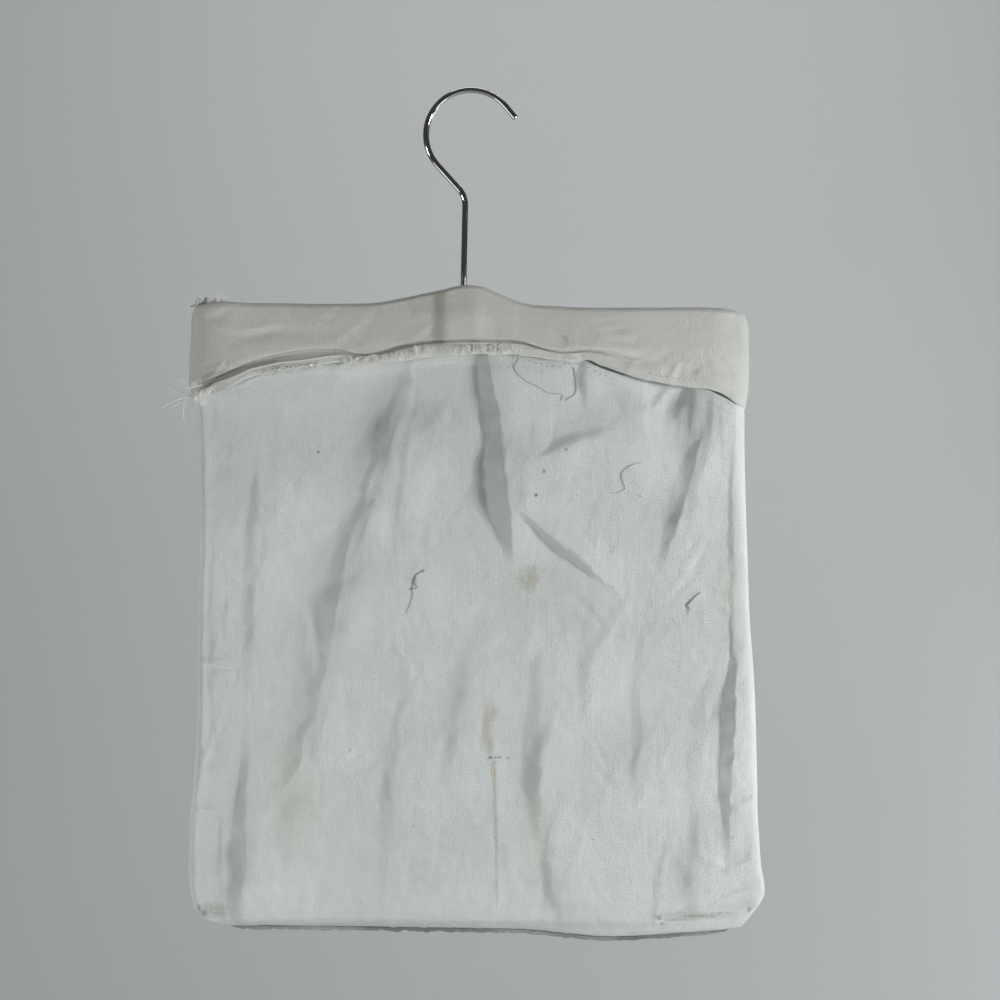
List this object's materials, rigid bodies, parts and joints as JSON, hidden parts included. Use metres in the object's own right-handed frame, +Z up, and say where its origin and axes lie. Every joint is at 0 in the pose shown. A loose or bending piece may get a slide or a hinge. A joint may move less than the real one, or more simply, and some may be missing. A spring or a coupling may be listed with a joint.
{
  "type": "clothespin bag",
  "caption": "Flat cotton clothespin bag on a small hanger, with an arched front mouth under a smooth yoke and a bright wire hook to hang it on a line or rail.",
  "frame": {"origin": "the point under the top of the hook's wire, where the bag hangs", "axes": "+Z up along the hook's shank, -Y out of the front with the mouth, +X to the right as seen from the front"},
  "size_m": [0.2865, 0.0318, 0.4242],
  "materials": {
    "steel_wire": "bright drawn wire, lightly tarnished",
    "hanger_wood": "plain planed hardwood",
    "white_cotton": "heavy plain-woven cotton, washed and creased",
    "yoke_cotton": "the same cotton, a little darker with age",
    "hem_cotton": "turned-up hem with a raw, frayed edge"
  },
  "bodies": {
    "root": {"hook": "steel_wire", "hanger_bar": "hanger_wood", "back_panel": "white_cotton", "front_yoke": "yoke_cotton", "yoke_hem": "hem_cotton", "front_panel": "white_cotton", "bottom_seam": "white_cotton"}
  },
  "joints": []
}
